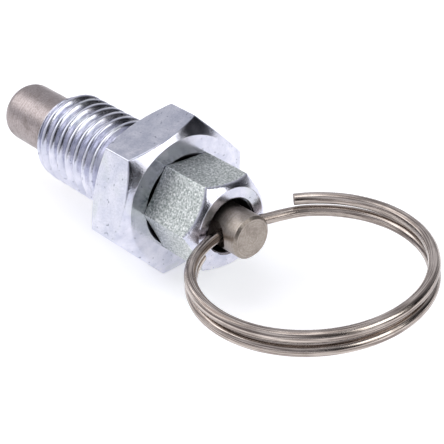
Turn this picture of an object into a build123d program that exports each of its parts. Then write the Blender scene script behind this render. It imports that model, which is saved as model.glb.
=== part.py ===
"""Spring plunger: a threaded sleeve with a lock nut, a sprung locking pin and a split pull ring.

The plunger lies along X. The origin is on the axis, in the lock nut's clamp face, which seats on
the plate that the sleeve is screwed into. The pin's nose points to -X and the pull ring to +X.
The ring lies flat in the XY plane, and +Z is up. All sizes are in millimetres and degrees.
"""
from build123d import *
from math import cos, radians, sin, tan
import os

# Thread of the sleeve: metric coarse profile, right hand
thread_d = 12.0
thread_pitch = 1.75
thread_out = 17.05          # length that stands out past the lock nut's clamp face
thread_lead_chamfer = 1.0
thread_in_nut = 3.0         # the thread goes on this far inside the lock nut
relief_d = 9.6              # plain neck between the thread and the small hexagon

# Small hexagon, turned and milled from one piece with the sleeve
hex_flats = 11.0
hex_length = 8.4
hex_corner_angle = -8.1     # of one corner, from +Y towards +Z
hex_face_d = 10.5
hex_chamfer_slope = 41.0    # of the turned cone, from the end face

# Lock nut
nut_flats = 18.0
nut_thickness = 6.8
nut_face_d = 16.6
nut_corner_angle = 10.0
nut_chamfer_slope = 30.0
nut_countersink_d = 12.7
nut_countersink_slope = 45.0

# Pin: thick nose, thin stem
nose_d = 8.0
nose_out = 10.3             # the nose stands out past the end of the thread
nose_fillet = 1.6
nose_guide = 8.7            # straight length that stays in the sleeve
nose_shoulder_chamfer = 0.3
stem_d = 5.4
stem_out = 3.65             # the stem stands out past the small hexagon
stem_end_chamfer = 0.3

# Bores of the sleeve
mouth_d = 6.7
mouth_depth = 2.2
mouth_chamfer = 0.3
stem_guide = 3.0            # length of the close bore round the stem
nose_bore_chamfer = 0.4

# Cross hole of the stem, along Y
cross_hole_d = 3.5
cross_hole_from_face = 0.02 # its centre lies this far past the hexagon's end face
cross_hole_break = 0.1      # deburred edge

# Compression spring round the stem
spring_wire_d = 0.8
spring_mean_d = 6.7
spring_coils = 9.0

# Split pull ring: a round wire wound a little under two turns, one turn lying on the other
ring_wire_d = 1.4
ring_mean_d = 26.8
ring_turn_pitch = 1.74      # between the two turns' centre planes
ring_near_side = -0.08      # the turns' centre circle, past the hexagon's end face, at its nearest
ring_rise = 0.18            # middle plane of the turns above the axis, at the hexagon
ring_tilt = 1.34            # the far side is lifted
ring_upper_end = 144.5      # angle of the upper turn's cut end
ring_lower_end = -154.0     # angle of the lower turn's cut end
ring_cross_start = -125.0   # the wire leaves the upper plane here
ring_cross_end = -215.0     # and lies in the lower plane from here on
ring_bow = 0.5              # the crossing wire is bent inwards by this much
ring_bow_in = -118.0        # angles over which the bend starts
ring_bow_full = -158.0
ring_bow_hold = -198.0      # and over which it ends
ring_bow_out = -222.0

# A chamfer's cone is carried this far past the corners of its hexagon
corner_spare = 0.5

# Clearances
running = 0.03              # radial, nose and stem in their bores
thread_clearance = 0.03     # radial, lock nut over the thread
seat = 0.05                 # axial, lock nut to hexagon and spring to its seats

# Derived places along X
nut_face_x = nut_thickness
sleeve_nose_x = -thread_out
hex_start_x = nut_face_x + seat
hex_face_x = hex_start_x + hex_length
mouth_floor_x = hex_face_x - mouth_depth
chamber_end_x = mouth_floor_x - stem_guide
nose_tip_x = sleeve_nose_x - nose_out
nose_shoulder_x = sleeve_nose_x + nose_guide
stem_end_x = hex_face_x + stem_out
cross_hole_x = hex_face_x + cross_hole_from_face

nose_bore_d = nose_d + 2 * running
guide_bore_d = stem_d + 2 * running


def turned(*outline):
    """A solid turned about X from an outline of (x, radius) points that closes along the axis."""
    return revolve(make_face(Polyline(*outline, close=True)), axis=Axis.X)


def rod(x_from, x_to, diameter):
    """A plain cylinder along X."""
    return turned((x_from, 0), (x_from, diameter / 2), (x_to, diameter / 2), (x_to, 0))


def hexagon(x_from, x_to, flats, corner_angle):
    """A hexagonal bar along X, with one corner at corner_angle from +Y towards +Z."""
    outline = RegularPolygon(flats / 2, 6, major_radius=False, rotation=corner_angle)
    return extrude(Plane.YZ.offset(x_from) * outline, x_to - x_from)


def thread_outline(x_from, x_to):
    """Outline of the thread between two places, as (x, radius) points.

    Each turn of the helix is drawn as a ring, which has the same section. Over one pitch, root,
    rising flank, crest and falling flank take a quarter, 5/16, an eighth and 5/16.
    """
    crest_r = thread_d / 2
    flank = 5 / 16 * thread_pitch
    crest = 1 / 8 * thread_pitch
    root_r = crest_r - flank / tan(radians(30))
    points = [(x_from, root_r)]
    for i in range(int((x_to - x_from) / thread_pitch)):
        x = x_from + i * thread_pitch
        points += [(x, root_r), (x + flank, crest_r), (x + flank + crest, crest_r)]
        points.append((x + 2 * flank + crest, root_r))
    points.append((x_to, root_r))
    return points[1:]


def end_cone(x_face, x_back, face_d, slope, flats):
    """What a chamfered end leaves of a hexagonal bar: a cone behind a round face, then full size."""
    bar_r = flats / 2 / cos(radians(30)) + corner_spare
    depth = (bar_r - face_d / 2) * tan(radians(slope))
    towards_back = 1 if x_back > x_face else -1
    return turned(
        (x_face, 0),
        (x_face, face_d / 2),
        (x_face + towards_back * depth, bar_r),
        (x_back, bar_r),
        (x_back, 0),
    )


def make_sleeve():
    """The body: thread, neck and small hexagon in one piece, bored through in three steps."""
    crest_r = thread_d / 2
    relief_r = relief_d / 2
    thread_end_x = thread_in_nut
    first_root_x = sleeve_nose_x - thread_pitch / 8
    thread = turned((first_root_x, 0), *thread_outline(first_root_x, thread_end_x), (thread_end_x, 0))
    thread = thread & turned(
        (sleeve_nose_x, 0),
        (sleeve_nose_x, crest_r - thread_lead_chamfer),
        (sleeve_nose_x + thread_lead_chamfer, crest_r),
        (thread_end_x - (crest_r - relief_r), crest_r),
        (thread_end_x, relief_r),
        (thread_end_x, 0),
    )
    hex_bar = hexagon(hex_start_x, hex_face_x, hex_flats, hex_corner_angle)
    hex_bar = hex_bar & end_cone(hex_face_x, hex_start_x, hex_face_d, hex_chamfer_slope, hex_flats)
    neck = rod(thread_end_x, hex_start_x, relief_d)
    bores = turned(
        (sleeve_nose_x, 0),
        (sleeve_nose_x, nose_bore_d / 2 + nose_bore_chamfer),
        (sleeve_nose_x + nose_bore_chamfer, nose_bore_d / 2),
        (chamber_end_x, nose_bore_d / 2),
        (chamber_end_x, guide_bore_d / 2),
        (mouth_floor_x, guide_bore_d / 2),
        (mouth_floor_x, mouth_d / 2),
        (hex_face_x - mouth_chamfer, mouth_d / 2),
        (hex_face_x, mouth_d / 2 + mouth_chamfer),
        (hex_face_x, 0),
    )
    return thread + neck + hex_bar - bores


def make_lock_nut():
    """Thin hexagon nut, chamfered on both faces. Its bore runs on the crests of the thread."""
    nut = hexagon(0, nut_thickness, nut_flats, nut_corner_angle)
    nut = nut & end_cone(0, nut_thickness, nut_face_d, nut_chamfer_slope, nut_flats)
    nut = nut & end_cone(nut_thickness, 0, nut_face_d, nut_chamfer_slope, nut_flats)
    bore_r = thread_d / 2 + thread_clearance
    sink_r = nut_countersink_d / 2
    sink_depth = (sink_r - bore_r) * tan(radians(nut_countersink_slope))
    return nut - turned(
        (0, 0),
        (0, sink_r),
        (sink_depth, bore_r),
        (nut_thickness - sink_depth, bore_r),
        (nut_thickness, sink_r),
        (nut_thickness, 0),
    )


def make_plunger_pin():
    """Nose with a rounded end, shoulder for the spring, and a stem with a cross hole for the ring."""
    nose_r = nose_d / 2
    stem_r = stem_d / 2
    with BuildPart() as pin:
        with BuildSketch(Plane.XY):
            with BuildLine():
                tip = RadiusArc(
                    (nose_tip_x, nose_r - nose_fillet), (nose_tip_x + nose_fillet, nose_r), nose_fillet
                )
                Polyline(
                    tip @ 1,
                    (nose_shoulder_x - nose_shoulder_chamfer, nose_r),
                    (nose_shoulder_x, nose_r - nose_shoulder_chamfer),
                    (nose_shoulder_x, stem_r),
                    (stem_end_x - stem_end_chamfer, stem_r),
                    (stem_end_x, stem_r - stem_end_chamfer),
                    (stem_end_x, 0),
                    (nose_tip_x, 0),
                    tip @ 0,
                )
            make_face()
        revolve(axis=Axis.X)
        with Locations(Location((cross_hole_x, 0, 0), (90, 0, 0))):
            Cylinder(cross_hole_d / 2, 2 * stem_d, mode=Mode.SUBTRACT)
    return pin.part


def make_spring():
    """Compression spring round the stem, from the pin's shoulder to the floor of the chamber.

    Its wire has eight sides: the sleeve hides it, and a round one takes six times the facets.
    """
    x_from = nose_shoulder_x + seat
    length = chamber_end_x - seat - x_from
    wire_r = spring_wire_d / 2
    climb = length - spring_wire_d
    coil = Edge.make_helix(climb / spring_coils, climb, spring_mean_d / 2)
    start = Plane(origin=coil @ 0, z_dir=coil % 0)
    section = RegularPolygon(wire_r, 8)
    wire = sweep(start * section, path=coil, is_frenet=True)
    return Pos(x_from + wire_r, 0, 0) * Rot(0, 90, 0) * wire


def smooth_step(value, start, end):
    """0 before start, 1 after end, and a smooth rise between them."""
    share = min(max((value - start) / (end - start), 0), 1)
    return share * share * (3 - 2 * share)


def ring_point(angle):
    """Centre of the ring's wire at an angle round the ring, which falls from the upper cut end on.

    0 degrees is the far side and -180 degrees is the cross hole. The wire's height goes from the
    upper turn to the lower one by a smooth step, and its radius dips where it crosses.
    """
    height = ring_turn_pitch * (0.5 - smooth_step(angle, ring_cross_start, ring_cross_end))
    bow = smooth_step(angle, ring_bow_in, ring_bow_full) - smooth_step(angle, ring_bow_hold, ring_bow_out)
    radius = ring_mean_d / 2 - ring_bow * bow
    return (
        ring_mean_d / 2 + radius * cos(radians(angle)),
        radius * sin(radians(angle)),
        height,
    )


def make_pull_ring():
    """Upper turn, crossing through the stem, lower turn: one wire with square cut ends."""
    flat_end = min(ring_cross_start, ring_bow_in)
    flat_start = max(ring_cross_start, ring_bow_in)
    lower_start = min(ring_cross_end, ring_bow_out)
    lower_cut = ring_lower_end - 360

    def turn(a_from, a_to):
        return ThreePointArc(ring_point(a_from), ring_point((a_from + a_to) / 2), ring_point(a_to))

    upper = turn(ring_upper_end, flat_start)
    lower = turn(lower_start, lower_cut)
    steps = 9
    angles = [flat_start + (lower_start - flat_start) * i / steps for i in range(steps + 1)]
    crossing = Spline(*[ring_point(a) for a in angles], tangents=(upper % 1, lower % 0))
    path = Wire([upper.edge(), crossing.edge(), lower.edge()])
    start = Plane(origin=upper @ 0, z_dir=upper % 0)
    ring = sweep(start * Circle(ring_wire_d / 2), path=path)
    place = Pos(hex_face_x + ring_near_side, 0, ring_rise) * Rot(0, -ring_tilt, 0)
    return place * ring


parts = {
    "sleeve": make_sleeve(),
    "lock_nut": make_lock_nut(),
    "plunger_pin": make_plunger_pin(),
    "spring": make_spring(),
    "pull_ring": make_pull_ring(),
}

os.makedirs("parts", exist_ok=True)
for name, shape in parts.items():
    solid = shape.solids()[0]
    export_step(solid, f"parts/{name}.step")
    print(f"{name}: {len(shape.solids())} solid, {solid.volume:.1f} mm3, valid {solid.is_valid}")
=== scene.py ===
# %% [markdown]
# # An index plunger with a pull ring
#
# A machinist screws this plunger into a plate. Its sprung pin drops into a hole in the part behind
# the plate and locks it, and the ring at the other end draws the pin back.
#
# The exact pieces come from a CAD model, which this script loads first. Everything here is in
# metres and in that model's frame: +X runs along the plunger towards the ring, the ring lies in the
# XY plane, and the origin is in the lock nut's clamp face.

import math

import bmesh
import bpy
import numpy as np
from mathutils import Matrix, Vector


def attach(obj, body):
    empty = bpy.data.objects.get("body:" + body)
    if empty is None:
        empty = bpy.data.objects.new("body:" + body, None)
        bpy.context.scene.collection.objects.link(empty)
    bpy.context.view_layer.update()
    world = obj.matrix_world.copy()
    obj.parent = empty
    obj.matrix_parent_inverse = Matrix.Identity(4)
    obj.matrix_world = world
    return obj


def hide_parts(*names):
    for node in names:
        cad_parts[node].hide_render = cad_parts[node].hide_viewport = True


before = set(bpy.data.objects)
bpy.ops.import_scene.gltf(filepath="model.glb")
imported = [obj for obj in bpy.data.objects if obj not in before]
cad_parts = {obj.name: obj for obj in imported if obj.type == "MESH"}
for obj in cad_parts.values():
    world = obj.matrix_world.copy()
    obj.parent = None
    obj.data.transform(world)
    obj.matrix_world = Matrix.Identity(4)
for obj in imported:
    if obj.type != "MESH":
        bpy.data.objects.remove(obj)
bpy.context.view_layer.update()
MM = 0.001

# %% [markdown]
# ## Camera
#
# A lens of about 108 mm on a full-frame camera looks down on the plunger from the ring's side. The
# camera is placed by where it looks and from which way, which are easier to read and to change than
# a location and three angles: azimuth 0 looks along +Y, and azimuth 90 along -X.

# %% Place the camera
camera_azimuth = 51.33
camera_elevation = 33.33
camera_roll = -4.64
camera_distance = 161.3 * MM
camera_target = Vector((10.76, 2.25, -2.52)) * MM
camera_lens = 108.23
sensor_width = 36.0


def view_direction(azimuth, elevation):
    """Unit vector along which a camera at this azimuth and elevation looks, in degrees."""
    a, e = math.radians(azimuth), math.radians(elevation)
    return Vector((-math.sin(a) * math.cos(e), math.cos(a) * math.cos(e), -math.sin(e)))


def aimed(location, direction, roll=0.0):
    """Matrix of a camera or lamp that looks along a direction, with its top turned by roll."""
    turn = direction.to_track_quat("-Z", "Y").to_matrix().to_4x4()
    return Matrix.Translation(location) @ turn @ Matrix.Rotation(math.radians(roll), 4, "Z")


looks_along = view_direction(camera_azimuth, camera_elevation)
camera = bpy.data.objects.new("camera", bpy.data.cameras.new("camera"))
camera.data.lens = camera_lens
camera.data.sensor_width = sensor_width
camera.data.clip_start = 1 * MM
camera.matrix_world = aimed(camera_target - camera_distance * looks_along, looks_along, camera_roll)
bpy.context.scene.collection.objects.link(camera)
bpy.context.scene.camera = camera
print("camera at", [round(v / MM, 1) for v in camera.matrix_world.translation], "mm")

# %% [markdown]
# ## Surfaces from two parameters
#
# Every turned or milled piece here is a grid. Its rows follow a profile along the axis, from one end
# face over the outside and back through the bore, and its columns go round. The radius at a grid
# point is the smaller of what the lathe left, which depends on the row alone, and what the milling
# or threading left, which depends on the angle too. Taking that minimum softly rounds every edge
# where the two meet, and rounded edges are what catch the light on real metal.


# %% Helpers for grids
def smooth_min(a, b, blend):
    """The smaller of a and b, with a round of about the blend length where they cross."""
    h = np.clip(0.5 + 0.5 * (b - a) / blend, 0.0, 1.0)
    return b * (1 - h) + a * h - blend * h * (1 - h)


def rounded_profile(points, steps=4):
    """Rows (x, radius) along a polyline of (x, radius, corner radius) points in millimetres.

    Each corner becomes an arc that touches both sides: it starts and ends at the corner radius
    times the tangent of half the turn before and after the corner.
    """
    p = np.array([q[:2] for q in points], float)
    fillet = np.array([q[2] for q in points], float)
    rows = [p[:1]]
    for i in range(1, len(p) - 1):
        before = (p[i - 1] - p[i]) / np.linalg.norm(p[i - 1] - p[i])
        after = (p[i + 1] - p[i]) / np.linalg.norm(p[i + 1] - p[i])
        half_turn = 0.5 * math.acos(float(np.clip(-before @ after, -1, 1)))
        if fillet[i] <= 0:
            rows.append(p[i : i + 1])
            continue
        bisector = (before + after) / np.linalg.norm(before + after)
        centre = p[i] + bisector * fillet[i] / math.cos(half_turn)
        start = p[i] + before * fillet[i] * math.tan(half_turn) - centre
        side = start / np.linalg.norm(start)
        other = p[i] + after * fillet[i] * math.tan(half_turn) - centre
        across = other - (other @ side) * side
        across = across / np.linalg.norm(across)
        turn = np.linspace(0, 2 * half_turn, steps + 1)[:, None]
        rows.append(centre + fillet[i] * (np.cos(turn) * side + np.sin(turn) * across))
    rows.append(p[-1:])
    return np.concatenate(rows)


def subdivided(rows, longest):
    """The same rows with extra ones, so that no step between them is longer than this."""
    steps = np.maximum(np.ceil(np.linalg.norm(np.diff(rows, axis=0), axis=1) / longest).astype(int), 1)
    parts = [np.linspace(rows[i], rows[i + 1], n, endpoint=False) for i, n in enumerate(steps)]
    return np.concatenate(parts + [rows[-1:]])


def grid_faces(rows, columns, close_rows):
    """Quads of a grid whose columns go round, and whose rows close into a loop if asked."""
    r = np.arange(rows if close_rows else rows - 1)[:, None]
    c = np.arange(columns)[None, :]
    next_r, next_c = (r + 1) % rows, (c + 1) % columns
    this_row, next_row = r * columns, next_r * columns
    quads = np.stack([this_row + c, this_row + next_c, next_row + next_c, next_row + c], -1)
    return quads.reshape(-1, 4)


def new_piece(name, vertices_mm, faces, material, body, replaced, attributes):
    """A mesh object at the origin, smooth shaded, that rides on a body and stands for a CAD node.

    Each attribute is an array with one row per vertex, which the materials read by its name.
    """
    mesh = bpy.data.meshes.new(name)
    mesh.from_pydata((vertices_mm * MM).tolist(), [], faces)
    mesh.shade_smooth()
    mesh.materials.append(material)
    for key, values in attributes.items():
        kind, field = ("FLOAT_VECTOR", "vector") if values.ndim == 2 else ("FLOAT", "value")
        attribute = mesh.attributes.new(key, kind, "POINT")
        attribute.data.foreach_set(field, values.astype(np.float32).ravel())
    piece = bpy.data.objects.new(name, mesh)
    bpy.context.scene.collection.objects.link(piece)
    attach(piece, body)
    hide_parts(replaced)
    shape = bmesh.new()
    shape.from_mesh(mesh)
    open_edges = sum(not edge.is_manifold for edge in shape.edges)
    volume = shape.calc_volume(signed=True) / MM**3
    shape.free()
    print(name, len(mesh.polygons), "faces,", round(volume, 1), "mm3, open edges:", open_edges)


# %% [markdown]
# ## Finishes
#
# All the finishes are bare or plated steel, so each is a fully metallic surface whose colour is the
# colour of its reflection. What tells them apart is how each was made, and that is drawn in the
# grain: a noise whose size is a real one, fed to the bump and a little to the colour.


# %% Helpers for materials
def linear(hex_colour):
    """Linear RGBA from an sRGB hex colour such as #c9ccd8."""
    srgb = np.array([int(hex_colour[i : i + 2], 16) for i in (1, 3, 5)]) / 255
    low, high = srgb / 12.92, ((srgb + 0.055) / 1.055) ** 2.4
    return (*np.where(srgb <= 0.04045, low, high), 1.0)


def scale_for(patch_mm):
    """Noise scale on Object coordinates, in metres, for patches about this many millimetres wide."""
    return 1 / (patch_mm * MM)


def add_node(tree, kind, links=None, **settings):
    """The outputs of a new node with its settings. links maps an input's name or number to an
    output or a value."""
    node = tree.nodes.new(kind)
    for key, value in settings.items():
        setattr(node, key, value)
    for key, source in (links or {}).items():
        if isinstance(source, bpy.types.NodeSocket):
            tree.links.new(source, node.inputs[key])
        else:
            node.inputs[key].default_value = source
    return node.outputs


NOISE, RANGE, MIX, MATH = "ShaderNodeTexNoise", "ShaderNodeMapRange", "ShaderNodeMix", "ShaderNodeMath"
VECTOR_MATH, MAPPING, BUMP = "ShaderNodeVectorMath", "ShaderNodeMapping", "ShaderNodeBump"
COORDINATES, ATTRIBUTE = "ShaderNodeTexCoord", "ShaderNodeAttribute"


def start_metal(name):
    """A new material with a fully metallic shader: the material, its node tree and the shader."""
    material = bpy.data.materials.new(name)
    material.use_nodes = True
    shader = material.node_tree.nodes["Principled BSDF"]
    shader.inputs["Metallic"].default_value = 1.0
    return material, material.node_tree, shader


# %% [markdown]
# ### Bright zinc plate
#
# The sleeve and the nut are plated in a zinc bath after machining. The bath leaves a bluish white
# metal. On the small hexagon's flats, which keep the rough skin of the drawn bar, it is frosted,
# with a sparkling grain and a greener grey. On the nut and on turned faces it is smooth, almost a
# mirror, with a few pits and fine scratches from the barrel. The bath hardly reaches into the bores,
# so they stay dull. Their near-black colour is painted shade, which stands for the shade inside them.
# Two attributes of the meshes say where each of these is.
#
# The real grain is about 0.2 mm wide. It is drawn a little wider, so that it shows.

# %% Places and noises of the zinc plate
grain_mm, pit_mm, scratch_mm, patch_mm, cloud_mm = 0.24, 0.45, 0.3, 2.2, 5.0
zinc_plate, tree, shader = start_metal("bright_zinc_plate")
where = add_node(tree, COORDINATES)["Object"]
on_flat = add_node(tree, ATTRIBUTE, attribute_name="on_flat")["Fac"]
bore_dull_and_shade = add_node(tree, ATTRIBUTE, attribute_name="bore_dull_and_shade")["Fac"]
settings = {"Vector": where, "Scale": scale_for(grain_mm), "Detail": 3.0, "Roughness": 0.7}
grain = add_node(tree, NOISE, settings)["Fac"]
settings = {"Vector": where, "Scale": scale_for(patch_mm), "Detail": 3.0, "Roughness": 0.6}
patches = add_node(tree, NOISE, settings)["Fac"]
clouds = add_node(tree, NOISE, {"Vector": where, "Scale": scale_for(cloud_mm)})["Fac"]
pits = add_node(tree, NOISE, {"Vector": where, "Scale": scale_for(pit_mm), "Detail": 1.0})["Fac"]
pits = add_node(tree, RANGE, {"Value": pits, "From Min": 0.7, "From Max": 0.76})[0]
settings = {"Vector": where, "Rotation": (0.4, 0.9, 0.7), "Scale": (1, 0.04, 1)}
along_scratch = add_node(tree, MAPPING, settings)[0]
settings = {"Vector": along_scratch, "Scale": scale_for(scratch_mm), "Detail": 1.0}
scratches = add_node(tree, NOISE, settings)["Fac"]
scratches = add_node(tree, RANGE, {"Value": scratches, "From Min": 0.6, "From Max": 0.7})[0]

# %% Colour of the zinc plate
share = add_node(tree, RANGE, {"Value": grain, "From Min": 0.38, "From Max": 0.66})[0]
frosted = add_node(tree, MIX, {0: share, 6: linear("#8f9894"), 7: linear("#fafcfa")}, data_type="RGBA")[2]
share = add_node(tree, RANGE, {"Value": patches, "From Min": 0.35, "From Max": 0.65})[0]
smooth = add_node(tree, MIX, {0: share, 6: linear("#c4c6d5"), 7: linear("#dfdfea")}, data_type="RGBA")[2]
share = add_node(tree, RANGE, {"Value": clouds, "From Min": 0.56, "From Max": 0.7, "To Max": 0.35})[0]
smooth = add_node(tree, MIX, {0: share, 6: smooth, 7: linear("#b9c6b4")}, data_type="RGBA")[2]
smooth = add_node(tree, MIX, {0: pits, 6: smooth, 7: linear("#8e91a2")}, data_type="RGBA")[2]
plated = add_node(tree, MIX, {0: on_flat, 6: smooth, 7: frosted}, data_type="RGBA")[2]
# Painted shade: the bores take a near-black colour that stands for the shade falling inside them.
colour = add_node(tree, MIX, {0: bore_dull_and_shade, 6: plated, 7: linear("#2a2826")}, data_type="RGBA")[2]
tree.links.new(colour, shader.inputs["Base Color"])

# %% Roughness and relief of the zinc plate
smooth_roughness, frosted_roughness, bore_roughness = 0.17, 0.4, 0.7
settings = {"Value": on_flat, "To Min": smooth_roughness, "To Max": frosted_roughness}
rough = add_node(tree, RANGE, settings)[0]
settings = {"Value": patches, "From Min": 0.3, "From Max": 0.7, "To Min": -0.04, "To Max": 0.08}
uneven = add_node(tree, RANGE, settings)[0]
rough = add_node(tree, MATH, {0: rough, 1: uneven}, operation="ADD")[0]
dull = add_node(tree, RANGE, {"Value": bore_dull_and_shade, "To Max": bore_roughness})[0]
rough = add_node(tree, MATH, {0: rough, 1: dull}, operation="MAXIMUM")[0]
tree.links.new(rough, shader.inputs["Roughness"])
grain_height = add_node(tree, RANGE, {"Value": on_flat, "To Min": 0.2, "To Max": 1.3})[0]
relief = add_node(tree, MATH, {0: grain, 1: grain_height}, operation="MULTIPLY")[0]
for marks, depth in ((scratches, 0.08), (pits, 0.15)):
    cut = add_node(tree, MATH, {0: marks, 1: depth}, operation="MULTIPLY")[0]
    relief = add_node(tree, MATH, {0: relief, 1: cut}, operation="SUBTRACT")[0]
normal = add_node(tree, BUMP, {"Height": relief, "Strength": 1.0, "Distance": 0.03 * MM})[0]
tree.links.new(normal, shader.inputs["Normal"])
print("zinc plate:", len(tree.nodes), "nodes")

# %% [markdown]
# ### Turned steel
#
# The pin is bare steel, turned on a lathe: a satin grey-brown with fine rings about the axis, from
# the feed of the tool, and stains from handling. The rings are a noise of the distance along the
# axis plus the distance from it, so they run round the stem and nose and in circles on the ends.

# %% Noises of the turned steel
feed_mm, speckle_mm, stain_mm = 0.16, 0.22, 1.6
turned_steel, tree, shader = start_metal("turned_steel")
where = add_node(tree, COORDINATES)["Object"]
along_axis = add_node(tree, "ShaderNodeSeparateXYZ", {0: where})["X"]
across = add_node(tree, VECTOR_MATH, {0: where, 1: (0, 1, 1)}, operation="MULTIPLY")[0]
from_axis = add_node(tree, VECTOR_MATH, {0: across}, operation="LENGTH")["Value"]
feed = add_node(tree, MATH, {0: along_axis, 1: from_axis}, operation="ADD")[0]
feed = add_node(tree, "ShaderNodeCombineXYZ", {0: feed})[0]
rings = add_node(tree, NOISE, {"Vector": feed, "Scale": scale_for(feed_mm)})["Fac"]
settings = {"Vector": where, "Scale": scale_for(speckle_mm), "Detail": 3.0, "Roughness": 0.7}
speckle = add_node(tree, NOISE, settings)["Fac"]
settings = {"Vector": where, "Scale": scale_for(stain_mm), "Detail": 3.0, "Roughness": 0.6}
stains = add_node(tree, NOISE, settings)["Fac"]
half_rings = add_node(tree, MATH, {0: rings, 1: 0.5}, operation="MULTIPLY")[0]
half_speckle = add_node(tree, MATH, {0: speckle, 1: 0.5}, operation="MULTIPLY")[0]
marks = add_node(tree, MATH, {0: half_rings, 1: half_speckle}, operation="ADD")[0]

# %% Colour, roughness and relief of the turned steel
share = add_node(tree, RANGE, {"Value": marks, "From Min": 0.35, "From Max": 0.65})[0]
colour = add_node(tree, MIX, {0: share, 6: linear("#7d7370"), 7: linear("#c2b7b6")}, data_type="RGBA")[2]
settings = {"Value": along_axis, "From Min": 10 * MM, "From Max": 17 * MM, "To Max": 0.35}
olive_stem = add_node(tree, RANGE, settings)[0]
colour = add_node(tree, MIX, {0: olive_stem, 6: colour, 7: linear("#a29b84")}, data_type="RGBA")[2]
share = add_node(tree, RANGE, {"Value": stains, "From Min": 0.5, "From Max": 0.75, "To Max": 0.45})[0]
colour = add_node(tree, MIX, {0: share, 6: colour, 7: linear("#6b5f58")}, data_type="RGBA")[2]
tree.links.new(colour, shader.inputs["Base Color"])
settings = {"Value": stains, "From Min": 0.3, "From Max": 0.7, "To Min": 0.3, "To Max": 0.46}
tree.links.new(add_node(tree, RANGE, settings)[0], shader.inputs["Roughness"])
normal = add_node(tree, BUMP, {"Height": marks, "Strength": 1.0, "Distance": 0.014 * MM})[0]
tree.links.new(normal, shader.inputs["Normal"])
print("turned steel:", len(tree.nodes), "nodes")

# %% [markdown]
# ### Drawn wire
#
# The ring is spring wire, pulled through a die. The die leaves a warm bright grey with fine streaks
# along the wire, so the pattern needs to follow it. The mesh carries an attribute with the place of
# each point on the wire as if it were straight: across, across and along, in millimetres. A noise
# squeezed along the third axis then gives streaks without a seam. They are about 0.1 mm wide and
# fifty times as long.

# %% Drawn wire
streaks_per_mm, dull_spots_per_mm = 9.0, 0.5
drawn_wire, tree, shader = start_metal("drawn_wire")
straight = add_node(tree, ATTRIBUTE, attribute_name="straight_wire")["Vector"]
squeezed = add_node(tree, MAPPING, {"Vector": straight, "Scale": (1, 1, 0.02)})[0]
streaks = add_node(tree, NOISE, {"Vector": squeezed, "Scale": streaks_per_mm})["Fac"]
settings = {"Vector": straight, "Scale": dull_spots_per_mm, "Detail": 3.0}
dull = add_node(tree, NOISE, settings)["Fac"]
share = add_node(tree, RANGE, {"Value": streaks, "From Min": 0.4, "From Max": 0.62})[0]
colour = add_node(tree, MIX, {0: share, 6: linear("#7c716b"), 7: linear("#d6cbc2")}, data_type="RGBA")[2]
share = add_node(tree, RANGE, {"Value": dull, "From Min": 0.5, "From Max": 0.75, "To Max": 0.4})[0]
colour = add_node(tree, MIX, {0: share, 6: colour, 7: linear("#6a5f59")}, data_type="RGBA")[2]
tree.links.new(colour, shader.inputs["Base Color"])
settings = {"Value": dull, "From Min": 0.3, "From Max": 0.7, "To Min": 0.16, "To Max": 0.3}
tree.links.new(add_node(tree, RANGE, settings)[0], shader.inputs["Roughness"])
normal = add_node(tree, BUMP, {"Height": streaks, "Strength": 1.0, "Distance": 0.01 * MM})[0]
tree.links.new(normal, shader.inputs["Normal"])
print("drawn wire:", len(tree.nodes), "nodes")

# %% [markdown]
# ### Spring steel
#
# The coil spring is black tempered wire with a film of oil, which lies thicker in some places. It
# keeps to Object coordinates, because it is a CAD piece and carries no attribute of its own.

# %% Oiled spring steel
film_mm = 0.5
spring_steel, tree, shader = start_metal("oiled_spring_steel")
where = add_node(tree, COORDINATES)["Object"]
settings = {"Vector": where, "Scale": scale_for(film_mm), "Detail": 3.0, "Roughness": 0.6}
film = add_node(tree, NOISE, settings)["Fac"]
share = add_node(tree, RANGE, {"Value": film, "From Min": 0.35, "From Max": 0.65})[0]
colour = add_node(tree, MIX, {0: share, 6: linear("#4d4744"), 7: linear("#8a817a")}, data_type="RGBA")[2]
tree.links.new(colour, shader.inputs["Base Color"])
settings = {"Value": film, "From Min": 0.3, "From Max": 0.7, "To Min": 0.25, "To Max": 0.45}
tree.links.new(add_node(tree, RANGE, settings)[0], shader.inputs["Roughness"])
print("spring steel:", len(tree.nodes), "nodes")

# %% [markdown]
# ## Sleeve
#
# The sleeve is one turned bar: thread at the nose end, small hexagon at the ring end, and a stepped
# bore. A screw modifier could wind a thread profile, but its ends would then need trimming by hand.
# Here the thread's radius is a wave in the distance along the helix, and the lathe's outline caps
# it, so the lead chamfer and the run-out come of themselves.

# %% Measures of the sleeve, in millimetres and degrees
thread_r = 6.0
thread_pitch = 1.75
thread_depth = 0.947
thread_start_x = -17.05
thread_end_x = 3.0
lead_chamfer = 1.0
lathe_r = 6.02  # the lathe's outline lies just outside the crests
neck_r = 4.8
hex_flats = 11.0
hex_corner_angle = -8.1
hex_start_x = 6.85
hex_face_x = 15.25
hex_face_r = 4.95
hex_chamfer_slope = 41.0
hex_bar_r = 8.0  # well outside the corners
nose_bore_r = 4.03
bore_chamfer = 0.4
mouth_r = 3.35
mouth_chamfer = 0.3
mouth_floor_x = 13.05
guide_bore_r = 2.73
chamber_end_x = 10.05
bore_side_r = 4.6  # all that lies inside this radius is bore


def hexagon_radius(angle, flats, corner_angle, blend):
    """Distance from the axis to a hexagon: half its flats over the cosine of the angle from the
    middle of the nearest flat. The two flats beside it are blended in, which rounds the corners."""
    from_corner = np.mod(angle - math.radians(corner_angle), math.pi / 3)
    smallest_cosine = 0.2
    this_flat = flats / 2 / np.cos(from_corner - math.pi / 6)
    next_flat = flats / 2 / np.maximum(np.cos(from_corner - math.pi / 2), smallest_cosine)
    last_flat = flats / 2 / np.maximum(np.cos(from_corner + math.pi / 6), smallest_cosine)
    return smooth_min(smooth_min(this_flat, next_flat, blend), last_flat, blend)


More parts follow.
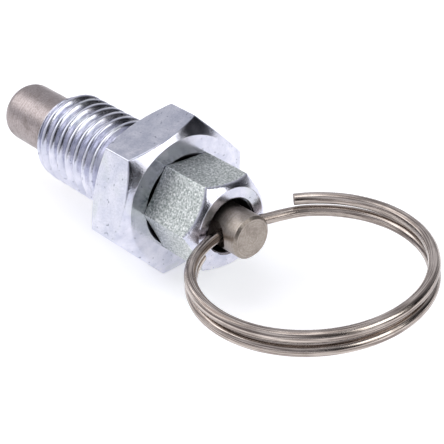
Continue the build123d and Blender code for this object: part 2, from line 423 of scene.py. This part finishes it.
def thread_radius(x, angle):
    """Radius of a right-hand thread: its phase is the distance along the axis over the pitch, less
    the share of the turn. Roots are round, crests are nearly flat, and the flanks are straight."""
    root_end, crest_start, roundness = 0.22, 0.84, 0.35
    phase = np.mod(x / thread_pitch - angle / (2 * math.pi), 1.0)
    from_root = np.abs(phase - 0.5) * 2
    flank = np.clip((from_root - root_end) / (crest_start - root_end), 0, 1)
    rise = flank * flank * (3 - 2 * flank) * roundness + flank * (1 - roundness)
    return thread_r - thread_depth * (1 - rise)


print("root of the thread at radius", round(thread_r - thread_depth, 2), "mm")

# %% [markdown]
# The columns of the grid stand close together at the corners of the hexagon, where the surface
# turns, and far apart on the flats, where it doesn't.


# %% Helpers for columns
def columns_about(corner_angle, offsets):
    """Angles all round, in radians, set close together at the six corners of a hexagon."""
    sector = np.concatenate([offsets, 60 - offsets[::-1]])
    sector = np.unique(np.round(sector, 4))[:-1]
    return np.radians(corner_angle + (np.arange(6)[:, None] * 60 + sector[None, :]).ravel())


corner_offsets = np.array([0, 0.35, 0.7, 1.05, 1.5, 2.1, 3, 4.5, 7, 10, 13.5, 17, 20.5, 24, 27, 30])


def wrapped(rows, angles, shape):
    """Vertices of the grid, with the angle and radius turned into Y and Z, and how deep each one
    was cut below the lathe's outline."""
    x = np.repeat(rows[:, :1], len(angles), axis=1)
    a = np.repeat(angles[None, :], len(rows), axis=0)
    cap = np.repeat(rows[:, 1:2], len(angles), axis=1)
    radius = shape(x, a, cap)
    vertices = np.stack([x, radius * np.cos(a), radius * np.sin(a)], -1).reshape(-1, 3)
    return vertices, (cap - radius).ravel()


def share_of(values, low, high):
    """0 where a value is below low, 1 where it is above high, and in proportion between them."""
    return np.clip((values - low) / (high - low), 0, 1)


# %% Outline of the sleeve: x, radius and the round of each corner
nose_side = [
    (-8, nose_bore_r, 0),
    (thread_start_x + bore_chamfer, nose_bore_r, 0.1),
    (thread_start_x, nose_bore_r + bore_chamfer, 0.1),
    (thread_start_x, 5.0, 0.15),
    (thread_start_x + lead_chamfer, lathe_r, 0.3),
    (-0.2, lathe_r, 0),
]
chamfer_run = 1.55
chamfer_rise = chamfer_run * math.tan(math.radians(hex_chamfer_slope))
ring_side = [
    (1.0, lathe_r, 0),
    (2.0, lathe_r, 0),
    (thread_end_x, neck_r, 0),
    (hex_start_x, neck_r, 0),
    (hex_start_x, 6.2, 0.1),
    (hex_start_x + 0.2, hex_bar_r, 0),
    (13.5, hex_bar_r, 0),
    (hex_face_x - chamfer_rise, hex_face_r + chamfer_run, 0),
    (hex_face_x, hex_face_r, 0.15),
    (hex_face_x, mouth_r + mouth_chamfer, 0.12),
    (hex_face_x - mouth_chamfer, mouth_r, 0.12),
    (mouth_floor_x, mouth_r, 0),
    (mouth_floor_x, guide_bore_r, 0),
    (chamber_end_x, guide_bore_r, 0),
    (chamber_end_x, nose_bore_r, 0),
]
thread_rows = subdivided(rounded_profile(nose_side), 0.12)
sleeve_outline = np.concatenate([thread_rows, subdivided(rounded_profile(ring_side), 0.25)])
print("rows", len(sleeve_outline))


# %% Make the sleeve
def sleeve_shape(x, angle, cap):
    """Thread on the nose side, hexagon on the ring side, and the plain lathe outline elsewhere."""
    outside = cap > bore_side_r
    threaded = outside & (x < 2.5)
    hexed = outside & (x > hex_start_x - 0.01)
    thread = smooth_min(cap, thread_radius(x, angle), 0.12)
    hexagon = smooth_min(cap, hexagon_radius(angle, hex_flats, hex_corner_angle, 0.05), 0.06)
    return np.where(threaded, thread, np.where(hexed, hexagon, cap))


sleeve_columns = columns_about(hex_corner_angle, corner_offsets)
vertices, cut = wrapped(sleeve_outline, sleeve_columns, sleeve_shape)
on_hexagon = vertices[:, 0] > hex_start_x
radii = np.hypot(vertices[:, 1], vertices[:, 2])
mouth_edge = (vertices[:, 0] > hex_face_x - 0.25) & (radii > 3.4)
# The bore mark below makes the sleeve's bores dull and paints them near black as painted shade.
attributes = {
    "on_flat": share_of(cut, 0.02, 0.12) * on_hexagon,
    "bore_dull_and_shade": 1.0 * (radii < 4.2) * ~mouth_edge,
}
faces = grid_faces(len(sleeve_outline), len(sleeve_columns), True)
new_piece("sleeve_skin", vertices, faces, zinc_plate, "sleeve", "sleeve", attributes)

# %% [markdown]
# ## Lock nut
#
# The nut is cut from hexagon bar, and a chamfering tool turns a cone on both of its faces. Where a
# cone meets the flats it leaves the curved edges that every nut has. A boolean of a prism and two
# cones gives them too, but with sharp edges. The soft minimum of the cone and the hexagon gives the
# same curves with the edges already rounded.

# %% Outline of the lock nut: x, radius and the round of each corner
nut_flats = 18.0
nut_corner_angle = 10.0
nut_face_x = 6.8
nut_face_r = 8.3
nut_bar_r = 10.7
nut_bore_r = 6.03  # runs on the crests of the sleeve's thread
nut_crest_r = 5.3  # crests of the nut's own thread, past the end of the sleeve's
nut_slope = math.tan(math.radians(30))
cone_depth = (nut_bar_r - nut_face_r) * nut_slope
nut_outline = subdivided(
    rounded_profile(
        [
            (2.0, nut_bore_r, 0),
            (0.32, nut_bore_r, 0.05),
            (0, 6.35, 0.05),
            (0, nut_face_r, 0.15),
            (cone_depth, nut_bar_r, 0),
            (nut_face_x - cone_depth, nut_bar_r, 0),
            (nut_face_x, nut_face_r, 0.15),
            (nut_face_x, 6.0, 0.05),
            (nut_face_x - 0.7, nut_crest_r, 0.05),
            (3.4, nut_crest_r, 0),
            (3.2, nut_bore_r, 0),
        ]
    ),
    0.2,
)
print("rows", len(nut_outline))


# %% Make the lock nut
def nut_shape(x, angle, cap):
    """A hexagon cut by the cones of its two chamfers."""
    hexagon = smooth_min(cap, hexagon_radius(angle, nut_flats, nut_corner_angle, 0.08), 0.08)
    return np.where(cap > 7.0, hexagon, cap)


nut_columns = columns_about(nut_corner_angle, corner_offsets)
vertices, cut = wrapped(nut_outline, nut_columns, nut_shape)
radii = np.hypot(vertices[:, 1], vertices[:, 2])
nut_frost = 0.12  # the nut's flats are nearly smooth
# The bore mark makes the inner part of the nut's hole dull and paints it near black as painted shade.
attributes = {"on_flat": nut_frost * share_of(cut, 0.02, 0.12), "bore_dull_and_shade": share_of(-radii, -6.0, -5.7)}
faces = grid_faces(len(nut_outline), len(nut_columns), True)
new_piece("lock_nut_skin", vertices, faces, zinc_plate, "lock_nut", "lock_nut", attributes)

# %% [markdown]
# ## Pull ring
#
# The ring is one wire wound a little under two turns, like a key ring, and it crosses from the upper
# turn to the lower one inside the pin's hole. A curve object with a bevel would do, but its twist
# can't be steered. Here a circle is carried along the path, with one axis always pointing away from
# the ring's middle, so the drawn streaks can follow the wire.

# %% Measures of the ring, in millimetres and degrees
ring_r = 13.4
wire_r = 0.7
turn_pitch = 1.74
ring_x = 15.17
ring_rise = 0.18
ring_tilt = 1.34
upper_end = 144.5
lower_end = -514.0
bow_depth = 0.5
path_points = 900
points_round = 40


def smooth_step(value, start, end):
    """0 before start, 1 after end, and a smooth rise between them."""
    share = np.clip((value - start) / (end - start), 0, 1)
    return share * share * (3 - 2 * share)


def ring_path(angle):
    """Centre line of the wire at angles in degrees, falling from the upper cut end to the lower.

    It is a circle whose height steps down by one turn's pitch as the wire passes the pin, and whose
    radius is a little smaller there."""
    height = turn_pitch * (0.5 - smooth_step(angle, -125, -215))
    bow = smooth_step(angle, -118, -158) - smooth_step(angle, -198, -222)
    radius = ring_r - bow_depth * bow
    u = ring_r + radius * np.cos(np.radians(angle))
    y = radius * np.sin(np.radians(angle))
    tilt = math.radians(ring_tilt)
    x = ring_x + u * math.cos(tilt) - height * math.sin(tilt)
    z = ring_rise + u * math.sin(tilt) + height * math.cos(tilt)
    return np.stack([x, y, z], -1)


print("far side of the ring at", ring_path(np.array([0.0]))[0].round(2), "mm")

# %% Carry the wire's section along the path
end_round = 0.06
end_step = math.degrees(end_round / ring_r)
angles = np.linspace(upper_end - end_step, lower_end + end_step, path_points)
path = ring_path(np.concatenate([[upper_end], angles, [lower_end]]))
along = np.gradient(path, axis=0)
along /= np.linalg.norm(along, axis=1)[:, None]
outward = np.stack([path[:, 0] - ring_x - ring_r, path[:, 1], np.zeros(len(path))], -1)
outward -= (outward * along).sum(1)[:, None] * along
outward /= np.linalg.norm(outward, axis=1)[:, None]
upward = np.cross(along, outward)
around = np.linspace(0, 2 * math.pi, points_round, endpoint=False)
radius = np.full(len(path), wire_r)
radius[[0, -1]] -= end_round
cosine, sine = radius[:, None] * np.cos(around), radius[:, None] * np.sin(around)
tube = path[:, None] + cosine[:, :, None] * outward[:, None] + sine[:, :, None] * upward[:, None]
run = np.concatenate([[0], np.cumsum(np.linalg.norm(np.diff(path, axis=0), axis=1))])
print("length of the wire:", round(float(run[-1]), 1), "mm")

# %% Make the ring
straight_wire = np.stack([cosine, sine, np.repeat(run[:, None], points_round, axis=1)], -1)
attributes = {"straight_wire": straight_wire.reshape(-1, 3)}
vertices = tube.reshape(-1, 3)
faces = grid_faces(len(tube), points_round, False).tolist()
faces.append(list(range(points_round - 1, -1, -1)))
faces.append(list(range(len(vertices) - points_round, len(vertices))))
new_piece("pull_ring_wire", vertices, faces, drawn_wire, "ring", "pull_ring", attributes)

# %% [markdown]
# ## Pin and spring
#
# The pin's shape is right as the CAD model has it, down to its chamfers, and the spring is hidden in
# the sleeve. So both stay as they are and only get their finishes.

# %% Dress the pin and the spring
for node, material in (("plunger_pin", turned_steel), ("spring", spring_steel)):
    cad_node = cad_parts[node]
    cad_node.data.materials.clear()
    cad_node.data.materials.append(material)
    print(node, "in", material.name)

# %% [markdown]
# ## Floor, light and room
#
# Bare metal shows its surroundings, so the studio is built with care: a white sheet of paper below,
# a large softbox beyond the ring, a second one behind the nut and a third overhead. The room is grey,
# and dark beyond the ring. The paper glows a little for camera, glossy and transmission rays, which
# brings it to white and still lets the plunger's shadow show on it.

# %% Floor
floor_z = -10.3 * MM
half = 1.5
paper_glow = 0.42
floor = bpy.data.objects.new("floor", bpy.data.meshes.new("floor"))
corners = [(-half, -half, floor_z), (half, -half, floor_z), (half, half, floor_z), (-half, half, floor_z)]
floor.data.from_pydata(corners, [], [(0, 1, 2, 3)])
bpy.context.scene.collection.objects.link(floor)
paper = bpy.data.materials.new("white_paper")
paper.use_nodes = True
tree = paper.node_tree
sheet = tree.nodes["Principled BSDF"]
sheet.inputs["Base Color"].default_value = linear("#f4f4f6")
sheet.inputs["Roughness"].default_value = 0.9
sheet.inputs["Emission Color"].default_value = (1, 1, 1, 1)
rays = add_node(tree, "ShaderNodeLightPath")
seen = add_node(tree, MATH, {0: rays["Is Camera Ray"], 1: rays["Is Glossy Ray"]}, operation="MAXIMUM")[0]
seen = add_node(tree, MATH, {0: seen, 1: rays["Is Transmission Ray"]}, operation="MAXIMUM")[0]
glow = add_node(tree, MATH, {0: seen, 1: paper_glow}, operation="MULTIPLY")[0]
tree.links.new(glow, sheet.inputs["Emission Strength"])
floor.data.materials.append(paper)
print("paper at", round(floor_z / MM, 1), "mm")


# %% Lamps
def softbox(name, azimuth, elevation, distance, size, brightness):
    """A square area lamp that looks at the plunger from a given side and height. Its power is its
    brightness times its area times pi, so a mirror would show it with just that brightness."""
    lamp = bpy.data.objects.new(name, bpy.data.lights.new(name, "AREA"))
    lamp.data.shape = "SQUARE"
    lamp.data.size = size
    lamp.data.energy = brightness * math.pi * size**2
    direction = view_direction(azimuth, elevation)
    lamp.matrix_world = aimed(Vector((8, 0, 0)) * MM - direction * distance, direction)
    bpy.context.scene.collection.objects.link(lamp)
    print(name, round(lamp.data.energy, 2), "W")


softbox("ring_side_softbox", 103, 29, 0.5, 0.34, 2.4)
softbox("nut_side_softbox", -62, 40, 0.5, 0.36, 1.5)
softbox("overhead_softbox", 20, 85, 0.5, 0.26, 1.6)

# %% [markdown]
# The room's grey comes from the direction of a ray: the more it points past the ring, the darker it
# is. A metal edge that faces that way then draws a crisp dark line.

# %% Room
world = bpy.data.worlds.new("studio")
bpy.context.scene.world = world
world.use_nodes = True
tree = world.node_tree
ray = add_node(tree, COORDINATES)["Generated"]
past_ring = add_node(tree, VECTOR_MATH, {0: ray, 1: (0.95, 0.3, -0.2)}, operation="DOT_PRODUCT")["Value"]
share = add_node(tree, RANGE, {"Value": past_ring, "From Min": 0.0, "From Max": 0.6})[0]
room = add_node(tree, MIX, {0: share, 6: linear("#d3d4db"), 7: linear("#1b1b1e")}, data_type="RGBA")[2]
tree.links.new(room, tree.nodes["Background"].inputs["Color"])
tree.nodes["Background"].inputs["Strength"].default_value = 1.0
bpy.context.scene.view_settings.view_transform = "Standard"
print("view transform:", bpy.context.scene.view_settings.view_transform)
